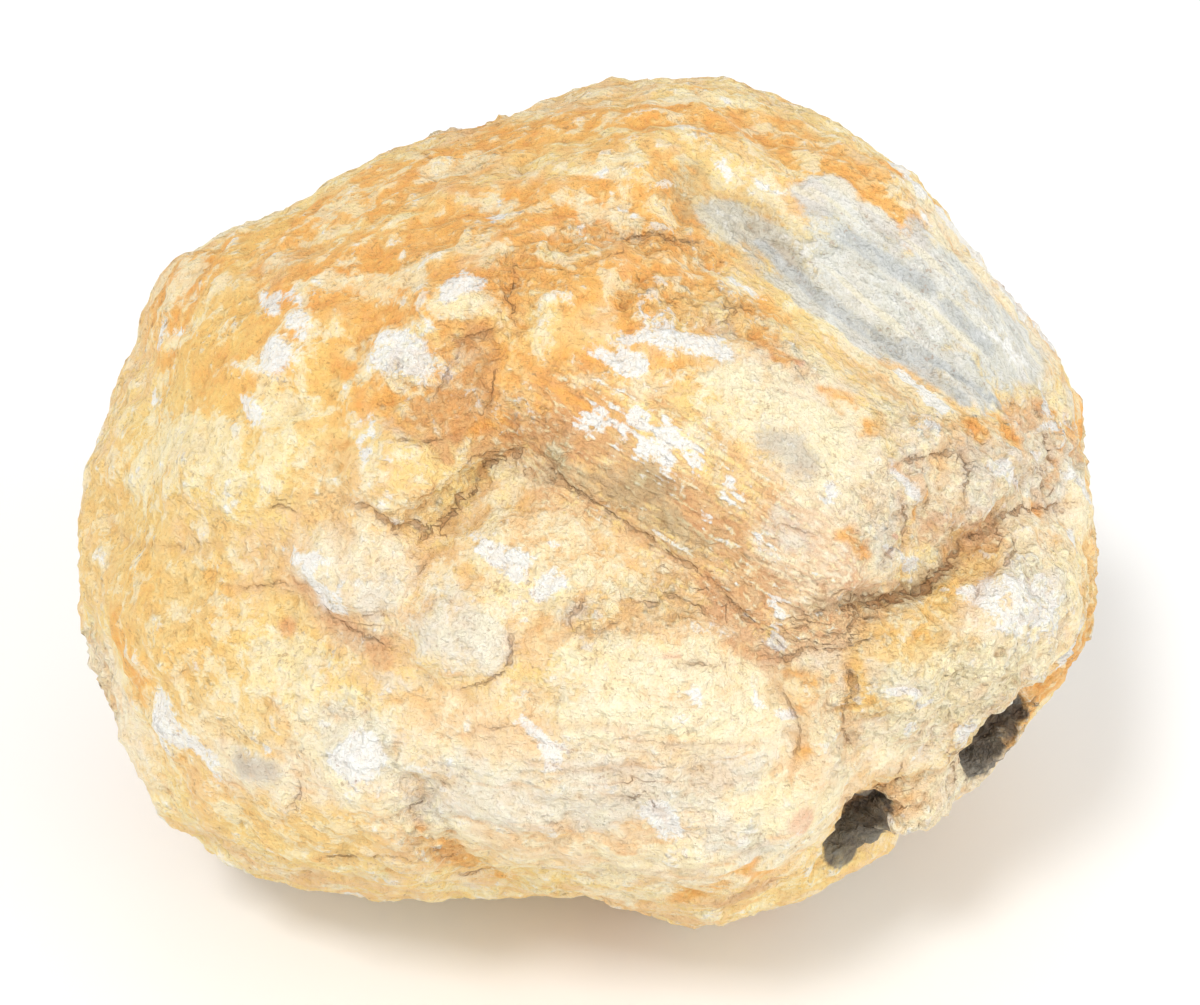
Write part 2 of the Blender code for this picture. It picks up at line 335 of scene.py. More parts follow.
def guideEmpty(name, axis, stretch):
    # its X axis lies along axis, and patterns on it are drawn out by stretch
    bpy.ops.object.empty_add(location=middle)
    guide = bpy.context.object
    guide.name = name
    guide.rotation_euler = Vector(axis).to_track_quat("X", "Z").to_euler()
    guide.scale = stretch
    bpy.context.view_layer.update()
    return guide


def useOnly(piece):
    bpy.ops.object.select_all(action="DESELECT")
    piece.select_set(True)
    bpy.context.view_layer.objects.active = piece


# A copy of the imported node, merged and cut finer, is what gets carved.
useOnly(frame["nodes"]["geode"])
bpy.ops.object.duplicate()
crust = bpy.context.object
bpy.ops.object.parent_clear(type="CLEAR_KEEP_TRANSFORM")
crust.name = "crust"
crust.data.name = "crust"
for key in list(crust.keys()):
    del crust[key]
useOnly(crust)
bpy.ops.object.mode_set(mode="EDIT")
bpy.ops.mesh.select_all(action="SELECT")
bpy.ops.mesh.remove_doubles(threshold=0.01 * mm)
bpy.ops.mesh.tris_convert_to_quads(face_threshold=math.radians(60), shape_threshold=math.radians(80))
bpy.ops.object.mode_set(mode="OBJECT")
finer = crust.modifiers.new("finer", "SUBSURF")
finer.levels = finer.render_levels = stone["fineLevels"]
bpy.ops.object.modifier_apply(modifier=finer.name)
print("crust cut finer:", len(crust.data.polygons), "faces")

tree = treeOf(crust)
points = pointsOf(crust)
loose = offFoot(points)
darkLines = []
for spots, under, reach in insides:
    hits = dropOn(tree, sights["front"], stepped(spots, 2.0))
    darkLines.append(([place - normal * under * mm for place, normal in hits], reach))
displace(crust, "lumps", pressOf(tree, points, lumps) * loose)
displace(crust, "dips", -pressOf(tree, points, dips) * loose)

# Where the crust is fibrous, layered, a smooth slab, calm or craggy: in each sight, line and reach.
zones = {
    "fibre": {
        "front": [([(-2, 12), (10, 8), (22, 0), (32, -9), (42, -16)], 13)],
    },
    "layer": {
        "front": [
            ([(-55, -48), (-25, -52), (5, -54), (30, -52)], 24), ([(15, -36), (30, -40)], 16),
            ([(0, -76), (30, -74)], 16), ([(60, -30), (80, -28)], 12),
        ],
        "back": [([(-40, -34), (0, -40), (40, -36)], 16)],
    },
    "slab": {
        "front": [([(32, 56), (46, 47), (60, 37), (74, 27)], 11), ([(48, 57), (62, 48), (82, 34)], 11)],
    },
    "calm": {
        "front": [
            ([(32, 22), (40, 12), (44, 4)], 10), ([(-27, -22), (-20, -27)], 8), ([(10, -34), (30, -38)], 9),
            ([(60, -28), (66, -42)], 5), ([(50, 28), (60, 14)], 6), ([(-20, 38), (-26, 38)], 6),
        ],
    },
    "crag": {
        "front": [
            ([(64, 12), (74, 6), (84, 12), (93, 14)], 9), ([(58, -4), (68, -2), (80, 2)], 8),
            ([(97, 10), (99, -8), (96, -28)], 6), ([(40, -27), (50, -25), (60, -21), (74, -10)], 6),
            ([(52, -60), (62, -60), (74, -54), (84, -38), (92, -33)], 7), ([(48, -36), (51, -48)], 5),
            ([(68, -28), (76, -32), (86, -28)], 5), ([(60, -42), (68, -45), (78, -42)], 5),
            ([(84, -12), (92, -10)], 4), ([(64, -36), (80, -36), (90, -22)], 9),
            ([(-34, 20), (-22, 14), (-10, 12)], 7), ([(-34, -2), (-26, 2), (-20, 8)], 4),
            ([(-32, 26), (-20, 32), (-14, 44), (-2, 50)], 6), ([(2, 52), (14, 51), (24, 48)], 4),
            ([(12, 40), (28, 38), (40, 28)], 6), ([(2, -22), (16, -18)], 5),
            ([(-34, -56), (-30, -66), (-20, -70)], 4),
        ],
        "back": [([(-60, -20), (-20, -34), (20, -30), (60, -36)], 9), ([(40, 30), (10, 40)], 9)],
        "left": [([(-30, -30), (10, -36), (40, -20)], 9)],
        "right": [([(-20, -20), (20, -24), (50, 10)], 9)],
    },
}


def reached(points, line, reach):
    # 1 on the line, about a half at the reach, 0 at twice the reach
    return np.clip(1 - (distanceTo(points, line) / (2 * reach)) ** 2, 0, 1) ** 2.4


def fieldOf(tree, points, strokes):
    field = np.zeros(len(points))
    for sightName, lines in strokes.items():
        for spots, reach in lines:
            field = np.maximum(field, reached(points, placesOn(tree, sightName, spots), reach))
    return field


def warped(points, wander, size):
    # the points moved about by up to wander mm, alike over size mm, so that patches get ragged outlines
    moves = [noise.noise_vector(Vector(p) / (size * mm)) for p in points]
    return points + np.array(moves) * wander * mm


tree = treeOf(crust)
points = pointsOf(crust)
fields = {name: fieldOf(tree, points, strokes) for name, strokes in zones.items()}
fibrous = smooth(0.35, 0.6, fields["fibre"])
slabby = smooth(0.35, 0.6, fields["slab"])
layered = smooth(0.3, 0.65, fields["layer"])
craggy = smooth(0.25, 0.65, fields["crag"])
calm = smooth(0.3, 0.65, fields["calm"])
crumbly = (1 - 0.75 * fibrous) * (1 - 0.8 * slabby) * (1 - 0.7 * calm)

ridgeEnds = [place for place, _ in dropOn(tree, sights["front"], [(0, 12), (36, -10)])]
slabEnds = [place for place, _ in dropOn(tree, sights["front"], [(36, 56), (68, 30)])]
ridgeWay = (ridgeEnds[1] - ridgeEnds[0]).normalized()
slabWay = (slabEnds[1] - slabEnds[0]).normalized()
ridgeGuide = guideEmpty("ridge guide", ridgeWay, (5, 1, 1))
slabGuide = guideEmpty("slab guide", slabWay, (12, 1, 1))
layerGuide = guideEmpty("layer guide", (1, 0, 0), (7, 7, 1))

relief = {  # mm of relief, kind of texture, size of its grain in mm, other settings
    "knobs": (2.3, "CLOUDS", 13, {"noise_depth": 1}),
    "domes": (-1.7, "VORONOI", 8.5, {"distance_metric": "DISTANCE_SQUARED"}),
    "crumbs": (1.8, "CLOUDS", 4.5, {"noise_depth": 2}),
    "crags": (2.6, "CLOUDS", 5.5, {"noise_depth": 3}),
    "lumps": (-1.7, "VORONOI", 5.8, {}),
    "clods": (-1.0, "VORONOI", 3.2, {"distance_metric": "MANHATTAN"}),
    "grit": (1.4, "CLOUDS", 2.4, {"noise_depth": 2}),
    "layers": (1.1, "CLOUDS", 2.8, {"noise_depth": 2}),
    "fibres": (1.0, "CLOUDS", 2.2, {"noise_depth": 2}),
    "slab": (1.1, "CLOUDS", 2.6, {"noise_depth": 2}),
    "chips": (-0.8, "VORONOI", 2.3, {}),
    "chaff": (1.0, "CLOUDS", 1.3, {"noise_depth": 1}),
}
room = -1.0  # mm that the crust shrinks first, because the relief stands that much proud


def carve(name, *shares, guide=None):
    # one relief all over the crust, as strong at each point as the shares say
    amount, kind, size, settings = relief[name]
    for share in shares:
        amount = amount * share
    displace(crust, name, amount, noiseTexture(name, kind, size, **settings), guide)


useOnly(crust)
displace(crust, "room", room * loose)
for name in ("knobs", "domes", "crumbs"):
    carve(name, crumbly, loose)
for name in ("crags", "lumps", "clods"):
    carve(name, craggy, crumbly, loose)
carve("grit", crumbly, loose)
carve("layers", 0.05 + 0.95 * layered, crumbly, loose, guide=layerGuide)
carve("fibres", fibrous, loose, guide=ridgeGuide)
carve("slab", slabby, loose, guide=slabGuide)
print("crust carved all over")

# ---- cracks ----

dice = random.Random(stone["seed"])
crazing = {  # fine cracks strewn over the sides that the front sight misses
    "count": 64,
    "steps": (6, 26),  # mm long
    "widths": (0.15, 0.4),
    "lifts": (0.0, 0.5, 0.8),
    "lowest": 6.0,  # mm above the floor
    "swing": 0.9,  # how much each step turns aside
}


def crackSamples(tree, strokes):
    samples = []
    for sightName, lines in strokes.items():
        swing = 0.3 if sightName == "front" else 0.8
        for spots, width, depth, lift in lines:
            shift = Vector((0, 0))
            ragged = []
            for spot in stepped(spots, stone["crackStep"]):
                shift = shift * 0.8 + Vector((dice.uniform(-swing, swing), dice.uniform(-swing, swing)))
                ragged.append(spot + shift)
            addSamples(samples, dropOn(tree, sights[sightName], ragged), width, depth, lift)
    return samples


def addSamples(samples, hits, width, depth, lift):
    for index, (place, normal) in enumerate(hits):
        way = (hits[min(index + 1, len(hits) - 1)][0] - hits[max(index - 1, 0)][0]).normalized()
        fromEnd = min(index, len(hits) - 1 - index)
        taper = min(1.0, (fromEnd + 0.5) / 3.5)
        samples.append((place, way, normal.cross(way), width * taper, depth * taper, lift * taper))


def wander(tree, start, heading, steps):
    # a ragged path over the stone, a point every mm, that keeps to its heading on the whole
    hits = []
    place, way = start, heading
    for _ in range(steps):
        place, normal = tree.find_nearest(place)[:2]
        hits.append((place, normal))
        way = way * 0.6 + heading * 0.4
        way = (way - normal * way.dot(normal)).normalized()
        way = (way + normal.cross(way) * dice.uniform(-crazing["swing"], crazing["swing"])).normalized()
        place = place + way * mm
    return hits


tree = treeOf(crust)
points = pointsOf(crust)
samples = crackSamples(tree, cracks)
frontLook = np.array(sights["front"]["towards"])
normals = pointsOf(crust, "normal")
hidden = np.nonzero((normals @ frontLook < 0.12) & (points[:, 2] > crazing["lowest"] * mm))[0]
for _ in range(crazing["count"]):
    start = int(hidden[dice.randrange(len(hidden))])
    way = Vector((dice.uniform(-1, 1), dice.uniform(-1, 1), dice.uniform(-0.35, 0.35))).normalized()
    path = wander(tree, Vector(points[start]), way, dice.randint(*crazing["steps"]))
    width = dice.uniform(*crazing["widths"])
    addSamples(samples, path, width, 2 * width, dice.choice(crazing["lifts"]))

kd = KDTree(len(samples))
for index, sample in enumerate(samples):
    kd.insert(sample[0], index)
kd.balance()


def crackFields(points):
    # signed distance to the nearest crack in mm, with that crack's width, depth and lift
    nearest = np.array([kd.find(Vector(p))[1] for p in points])
    place, way, side = (np.array([list(s[k]) for s in samples])[nearest] for k in range(3))
    width, depth, lift = (np.array([s[k] for s in samples])[nearest] for k in (3, 4, 5))
    gap = (points - place) / mm
    along = np.einsum("ij,ij->i", gap, way)
    away = np.sqrt(np.maximum(np.einsum("ij,ij->i", gap, gap) - np.minimum(np.abs(along), 0.8) ** 2, 0))
    sign = np.where(np.einsum("ij,ij->i", gap, side) < 0, -1.0, 1.0)
    return sign * away, width, depth, lift


signed = crackFields(points)[0]
bpy.ops.object.mode_set(mode="EDIT")
bpy.ops.mesh.select_all(action="DESELECT")
bpy.ops.object.mode_set(mode="OBJECT")
corners = np.empty(len(crust.data.loops), np.int32)
crust.data.loops.foreach_get("vertex_index", corners)
starts = np.empty(len(crust.data.polygons), np.int32)
crust.data.polygons.foreach_get("loop_start", starts)
# what is craggy or fibrous in front counts as near
towardsFront = smooth(-0.1, 0.1, normals @ frontLook)
closeness = np.minimum(np.abs(signed), 2.6 - 2.4 * np.maximum(craggy, fibrous * 0.8) * towardsFront)
closeness = np.minimum.reduceat(closeness[corners], starts)
order = np.argsort(closeness, kind="stable")[:stone["crackFaces"]]
picked = np.zeros(len(starts), bool)
picked[order] = closeness[order] < stone["crackBand"]
crust.data.polygons.foreach_set("select", picked)
bpy.ops.object.mode_set(mode="EDIT")
bpy.ops.mesh.select_mode(type="FACE")
bpy.ops.mesh.subdivide(number_cuts=1, smoothness=0)
bpy.ops.object.mode_set(mode="OBJECT")
print("faces near the cracks cut finer:", int(picked.sum()), "of them, now",
      sum(len(face.vertices) - 2 for face in crust.data.polygons), "triangles")

points = pointsOf(crust)
signed, width, depth, lift = crackFields(points)
away = np.abs(signed)
loose = offFoot(points)
# each crack is a groove, and a lip on its left that falls off more slowly
groove = 0.8 * depth * np.clip(1 - away / (0.7 + 0.7 * depth), 0, 1) ** 1.3
ledge = 0.7 * lift * smooth(-0.8, 0.8, signed) * np.clip(1 - away / (1.5 + 2.5 * lift), 0, 1)
displace(crust, "ledges", ledge * loose)
displace(crust, "grooves", -groove * loose)
evenOut(crust, smooth(0.5, 1.2, width) * (1 - smooth(1.5, 3.5, away)))
tree = treeOf(crust)
points = pointsOf(crust)
craggy = smooth(0.25, 0.65, fieldOf(tree, points, zones["crag"]))
carve("chips", 0.1 + 0.9 * craggy, loose)
carve("chaff", 0.2 + 0.8 * craggy, loose)
print("cracks cut")
for guide in (ridgeGuide, slabGuide, layerGuide):
    bpy.data.objects.remove(guide)
useOnly(crust)
bpy.ops.object.shade_smooth()

# ---- where each colour lies ----

# Patches in the front sight: line, reach.
patches = {
    "chalk": [
        ([(-60, 39), (-57, 36), (-55, 33)], 2.2), ([(-61, 43), (-59, 41)], 1.6),
        ([(-61, 28), (-58, 27)], 2.6), ([(-40, 29), (-35, 28), (-32, 27)], 4.0), ([(-31, 33.5)], 1.4),
        ([(-28, 43), (-21, 42)], 2.4), ([(-65, 22), (-64, 19), (-63, 16)], 1.5),
        ([(-45, 16), (-43, 14)], 1.8), ([(-46, 10), (-44, 8)], 1.6), ([(-34, 16)], 1.4),
        ([(-79, 35), (-83, 31)], 1.5), ([(-73, 33), (-74, 30)], 1.2), ([(-84, 22)], 1.6), ([(-79, 20)], 1.3),
        ([(-15.5, 59), (-20, 54)], 1.2), ([(-3, 53.5)], 1.3), ([(5, 65)], 1.2), ([(6, 57.5)], 1.2),
        ([(22, 46), (27, 44), (32, 41)], 1.2), ([(12, 34.5), (17, 33), (23, 32)], 4.0),
        ([(3, 30), (6, 28.5), (10, 27.5)], 2.4), ([(15, 22.5)], 1.4), ([(24, 17.5)], 1.0),
        ([(-3, 17.5), (4, 17)], 1.5), ([(8, 16), (12, 14), (15, 11)], 2.6), ([(10, 8), (13, 7)], 1.7),
        ([(16, 11), (19, 8), (21, 6)], 1.9), ([(28, 4), (34, 2)], 1.4), ([(46, 3)], 1.6),
        ([(36, -19), (36, -24)], 1.8), ([(24, -2)], 1.6), ([(-21, -5), (-18, -8), (-15, -9)], 2.2),
        ([(-10, -14)], 1.8), ([(-7.5, -8.5)], 1.2), ([(5, -11)], 1.3), ([(-3, -17)], 1.3),
        ([(-58, -9), (-54, -12), (-48, -18)], 2.2), ([(34, 62.5), (37, 62)], 1.4), ([(26, 67)], 1.2),
        ([(60, 26), (63, 22), (66, 19)], 2.2), ([(67, 15)], 1.8), ([(61, 6), (64, 1)], 1.4),
        ([(58, -9), (63, -12)], 1.6), ([(79, -18), (88, -20)], 5.2), ([(94, -7)], 3.0),
        ([(92, 8), (97, 2)], 2.8), ([(88, 13), (94, 16)], 1.8), ([(80, 3), (85, 1)], 1.6),
        ([(86, 10), (88, 6)], 1.4), ([(94, -28)], 2.6), ([(58, -37), (62, -39), (66, -42)], 1.3),
        ([(63.5, -48)], 1.3), ([(62, 64), (70, 54), (78, 45), (87, 35), (95, 24)], 3.0), ([(66, 53)], 1.6),
        ([(78, 44), (86, 34)], 1.8), ([(-12, -43), (-8, -46), (-5, -50)], 1.7), ([(10, -61), (15, -63)], 2.4),
        ([(-83, -41), (-80, -47), (-75, -50)], 3.4), ([(-60, -48)], 1.8), ([(-45, -50), (-45, -55)], 2.6),
        ([(-47, -29)], 1.3), ([(20, -39)], 2.2), ([(-22, -74)], 1.4), ([(30, -37), (38, -40)], 1.6),
        ([(75, 47), (84, 38)], 2.0), ([(78, 35), (84, 29)], 2.2),
    ],
    "stain": [
        ([(-82, 40), (-66, 50), (-46, 58), (-20, 70), (0, 75), (22, 76)], 12),
        ([(-70, 32), (-45, 46), (-15, 56), (15, 57)], 15), ([(-40, 36), (-12, 44), (10, 44), (22, 44)], 9),
        ([(-15, 52), (-10, 46), (0, 44), (12, 44)], 7), ([(3, 53), (12, 51), (23, 49)], 5),
        ([(-56, 32), (-50, 26), (-47, 21)], 8), ([(-80, 29), (-72, 24), (-66, 26)], 7),
        ([(-35, 24), (-15, 24), (0, 24)], 9), ([(10, 26), (20, 24)], 5), ([(20, 74), (36, 72), (46, 66)], 9),
        ([(46, 62), (54, 57), (61, 52)], 7), ([(50, 60), (58, 55)], 4),
        ([(20, 48), (28, 42), (34, 36), (40, 28)], 5), ([(41, 27)], 4), ([(47, 22), (53, 18), (58, 13)], 2.4),
        ([(-87, -34), (-90, -26)], 6), ([(-88, -12), (-84, -20)], 5), ([(-80, -30), (-74, -26)], 5),
        ([(38, -36)], 3), ([(42, -46)], 3), ([(53, -37)], 3), ([(-74, -12), (-72, -18)], 3),
        ([(-32, -64), (-26, -67), (-20, -72)], 3), ([(85, 18), (80, 14), (72, 16)], 4.5),
        ([(90, 18), (91, 10), (88, -2)], 2.6), ([(56, -26), (64, -22), (72, -15)], 2.6),
        ([(50, 66), (58, 58), (64, 50)], 6), ([(48, 63), (55, 58)], 5), ([(-5, 45), (8, 47)], 5),
        ([(64, 8), (66, 3)], 2.4), ([(63, -2)], 1.7), ([(51, -8), (55, -12)], 2.2),
        ([(20, -75), (33, -73)], 3.5),
    ],
    "peach": [
        ([(-52, 4), (-44, -2), (-34, -2)], 6), ([(-62, -12), (-48, -22), (-36, -28)], 5),
        ([(2, -24), (14, -24), (26, -26)], 5), ([(60, -24), (70, -20), (76, -8)], 6),
        ([(40, -26), (50, -23), (58, -20)], 5), ([(-92, 4), (-92, -12), (-86, -32)], 9),
        ([(-74, -20), (-80, -40)], 8), ([(-76, -56), (-56, -64), (-36, -66)], 8), ([(38, -54), (44, -56)], 6),
        ([(20, -54), (28, -56)], 5), ([(-12, -66), (8, -66)], 7), ([(-28, -42), (-12, -44)], 6),
        ([(36, -33), (42, -46)], 4), ([(53, -32), (54, -48)], 4), ([(70, 12), (80, 12), (90, 14)], 6),
    ],
    "milk": [
        ([(-81, 40), (-77, 43)], 5), ([(-80, 33)], 4), ([(-57, 37)], 5), ([(-60, 27)], 5),
        ([(-60, 14), (-60, 10)], 6), ([(-45, 45), (-38, 42)], 4), ([(-28, 39), (-20, 37)], 5),
        ([(-40, 29), (-32, 27)], 6), ([(-30, 65), (-18, 66)], 4), ([(-50, 56)], 4), ([(-18, 57)], 4),
        ([(-3, 54), (5, 57)], 3.5), ([(5, 66)], 4), ([(15, 78), (24, 79)], 3.5), ([(22, 46), (30, 42)], 2.5),
        ([(14, 22)], 4), ([(28, 24), (32, 14), (46, 14)], 6), ([(34, 61), (40, 55), (46, 46)], 3),
        ([(36, 63)], 4), ([(62, 62), (72, 52), (82, 40)], 5), ([(-72, 12), (-86, 8)], 8), ([(-42, 7)], 5),
        ([(-66, -33), (-54, -32)], 6), ([(-84, -42), (-78, -48)], 6), ([(-70, -60)], 5),
        ([(-52, -40), (-45, -50)], 6), ([(-16, 2), (-9, 5)], 6), ([(-22, -6), (-8, -15)], 6),
        ([(-2, -11), (8, -15)], 6), ([(4, -36), (20, -35), (34, -38)], 8), ([(46, -36)], 4),
        ([(64, -34), (74, -36)], 7), ([(84, -20), (93, -12)], 8), ([(60, -48)], 6),
        ([(30, -62), (44, -60)], 6), ([(96, 0), (95, -24)], 5), ([(88, 8), (96, 6), (97, -6)], 5),
        ([(70, -34), (84, -30)], 8), ([(48, 34), (58, 26), (66, 18)], 5), ([(0, -76), (14, -76)], 5),
        ([(4, -70), (18, -70)], 6), ([(64, -39), (73, -40)], 6),
    ],
    "lemon": [
        ([(-66, 50), (-60, 55)], 5), ([(-58, 20)], 4), ([(-60, 12)], 4), ([(58, -30), (63, -28)], 5),
        ([(-66, 38), (-70, 44)], 5), ([(-95, 0), (-90, -12)], 9), ([(-86, 6), (-84, -18), (-80, -34)], 15),
        ([(-64, 6), (-70, 16)], 10), ([(-62, -26), (-70, -32)], 10), ([(-72, -38), (-66, -42)], 7),
        ([(-80, 22), (-72, 34)], 8), ([(-66, -62), (-48, -66)], 8), ([(68, -28), (60, -34)], 8),
        ([(58, -25), (66, -21), (76, -13)], 5), ([(-70, 36), (-64, 32)], 5), ([(-52, 28), (-50, 22)], 4),
    ],
    "grey": [
        ([(24, 58), (32, 52), (38, 46), (43, 41)], 4), ([(24, 34), (27, 29)], 2.6),
        ([(44, 60), (50, 55), (58, 50), (66, 42)], 5), ([(50, 48), (62, 41), (74, 34), (86, 26)], 9),
        ([(66, 50), (76, 42), (88, 28)], 5), ([(49, 44), (58, 37.5), (68, 31)], 5),
        ([(56, -34), (64, -38)], 3), ([(-10, -62), (16, -56), (28, -54)], 6),
        ([(46, 42), (56, 34), (66, 27), (76, 22)], 4), ([(92, 24), (95, 14)], 2.5),
        ([(-28, -23), (-20, -26)], 6), ([(-28, -56), (-12, -58), (4, -56)], 8), ([(25, -65), (32, -69)], 5),
        ([(-54, -13), (-50, -17)], 3), ([(-38, -20), (-33, -27)], 3), ([(60, -4), (57, -10)], 3),
        ([(40, -3), (44, -7)], 3), ([(76, 2), (78, 9)], 4), ([(90, 2), (95, 10)], 4),
        ([(66, 12), (63, 4)], 3), ([(84, -14), (92, -16)], 4), ([(83, -29)], 3),
        ([(-46, -43), (-44, -52)], 5), ([(-40, 14), (-36, 12)], 3), ([(-34, -36), (-39, -36)], 3),
        ([(-24, -74)], 3), ([(-4, -22)], 3),
    ],
    "bone": [
        ([(-20, -58), (10, -62), (40, -60)], 20), ([(10, -42), (40, -38)], 14), ([(62, -42), (86, -22)], 18),
        ([(70, 6), (95, 4)], 13), ([(40, 22), (52, 4), (50, -10)], 13), ([(70, 50), (85, 34)], 10),
        ([(-50, -14), (-44, -18)], 9), ([(-24, -27)], 8), ([(-70, -48), (-45, -52)], 10),
        ([(60, -62), (78, -52)], 9),
    ],
    "beige": [([(36, 12), (40, 11), (42, 8)], 3.2), ([(-67, -51), (-62, -52)], 2.6)],
    "rust": [
        ([(-16, 13), (-4, 15), (6, 14)], 4), ([(8, 6), (18, 1), (28, -6), (32, -14)], 5),
        ([(30, -12), (28, -22), (34, -28)], 4), ([(-30, 14), (-24, 20), (-22, 28)], 4),
        ([(50, -17), (58, -16)], 2.2), ([(-54, -17), (-44, -24), (-36, -29)], 3.5), ([(68, -4), (76, -6)], 4),
    ],
    "olive": [
        ([(-5, 7), (4, 5), (12, 2)], 3.6), ([(14, -4), (22, -9)], 3), ([(20, 60), (28, 57), (34, 50)], 7),
        ([(46, -20), (62, -17), (70, -11)], 2.5),
    ],
    # blue-grey painted shade along the slab's trench and ledges
    "trenchShade": [
        ([(34, 50), (43, 41.5), (54, 33.5), (66, 25), (73, 20)], 1.7), ([(62, 31), (70, 26), (80, 19)], 1.2),
        ([(50, 52), (58, 47), (66, 42)], 2.4), ([(70, 38), (78, 30)], 2.0),
    ],
    "blush": [
        ([(60, -6.5)], 0.9), ([(14.5, -29.5), (18, -29.5)], 0.8), ([(41, 27.5)], 1.6), ([(-58, -24)], 2.2),
        ([(42, -62)], 3.5), ([(-60, 27)], 2.5),
    ],
    # painted shade inside the two hollows
    "shade": [
        ([(50, -67), (52, -64.5), (54, -61.5)], 4.4), ([(54, -65), (57, -61.5)], 3.4),
        ([(77, -49.5), (79, -46.5), (81.5, -43.5)], 5.0),
    ],
}

# Random patches on the sides that the front sight misses: how many, least and most reach.
spread = {
    "chalk": (60, 1.2, 4.0), "stain": (46, 4.0, 14.0), "peach": (24, 5.0, 12.0), "milk": (40, 3.0, 9.0),
    "lemon": (14, 4.0, 8.0), "grey": (16, 4.0, 10.0), "bone": (14, 8.0, 20.0), "beige": (10, 2.0, 4.0),
    "rust": (10, 4.0, 8.0), "olive": (5, 3.0, 6.0), "blush": (8, 0.8, 2.5),
}

tree = treeOf(crust)
points = pointsOf(crust)
normals = pointsOf(crust, "normal")
hidden = np.nonzero(normals @ frontLook < 0.1)[0]


def addField(name, values):
    attribute = crust.data.attributes.new(name, "FLOAT", "POINT")
    attribute.data.foreach_set("value", values.astype(np.float32))


for name in ("fibre", "layer", "slab", "crag"):
    addField(name, fieldOf(tree, points, zones[name]))
noise.seed_set(stone["seed"])  # without a seed, noise_vector would differ from run to run
# places shaken in two sizes, for all but the patches that keep their own outlines
ragged = warped(warped(points, 4.5, 14), 2.4, 4.5)
crisp = ("trenchShade", "shade", "blush", "beige")
for name, strokes in patches.items():
    field = fieldOf(tree, points if name in crisp else ragged, {"front": strokes})
    count, least, most = spread.get(name, (0, 0, 0))
    for _ in range(count):
        start = Vector(points[int(hidden[dice.randrange(len(hidden))])])
        way = Vector((dice.uniform(-1, 1), dice.uniform(-1, 1), dice.uniform(-0.5, 0.5))).normalized()
        reach = dice.uniform(least, most)
        path = [place for place, _ in wander(tree, start, way, max(2, int(reach * 1.5)))][::3]
        field = np.maximum(field, reached(ragged, path, reach))
    if name == "shade":
        for line, reach in darkLines:
            field = np.maximum(field, reached(points, line, reach))
    addField(name, field)

signed, width = crackFields(points)[:2]
addField("crack", np.clip(signed, -4, 4))
addField("crackWidth", np.where(np.abs(signed) < 3, width, -1))

# hollowness: how far the stone, evened out, lies above each point, in mm
ends = np.empty(len(crust.data.edges) * 2, np.int32)
crust.data.edges.foreach_get("vertices", ends)
ends = ends.reshape(-1, 2)
valence = np.bincount(ends.ravel(), minlength=len(points))[:, None]


def evened(places, passes):
    for _ in range(passes):
        total = np.zeros_like(places)
        for k in range(3):
            total[:, k] = np.bincount(ends[:, 0], places[ends[:, 1], k], len(places))
            total[:, k] += np.bincount(ends[:, 1], places[ends[:, 0], k], len(places))
        places = 0.5 * places + 0.5 * total / valence
    return places


fine = evened(points, 6)
broad = evened(fine, 60)
addField("hollow", np.einsum("ij,ij->i", fine - points, normals) / mm)
addField("basin", np.einsum("ij,ij->i", broad - points, normals) / mm)
print("colour fields laid out")

# ---- the finish ----


class Value:
    # a socket's number, usable in Python arithmetic
    def __init__(self, bench, socket):
        self.bench = bench
        self.socket = socket

    def maths(self, operation, *terms):
        return self.bench.value("ShaderNodeMath", {"operation": operation}, dict(enumerate(terms)))

    def __add__(self, other):
        return self.maths("ADD", self, other)

    def __radd__(self, other):
        return self.maths("ADD", other, self)

    def __sub__(self, other):
        return self.maths("SUBTRACT", self, other)

    def __rsub__(self, other):
        return self.maths("SUBTRACT", other, self)

    def __mul__(self, other):
        return self.maths("MULTIPLY", self, other)

    def __rmul__(self, other):
        return self.maths("MULTIPLY", other, self)

    def size(self):
        return self.maths("ABSOLUTE", self)

    def clamped(self):
        return self.bench.value("ShaderNodeClamp", {}, {"Value": self})


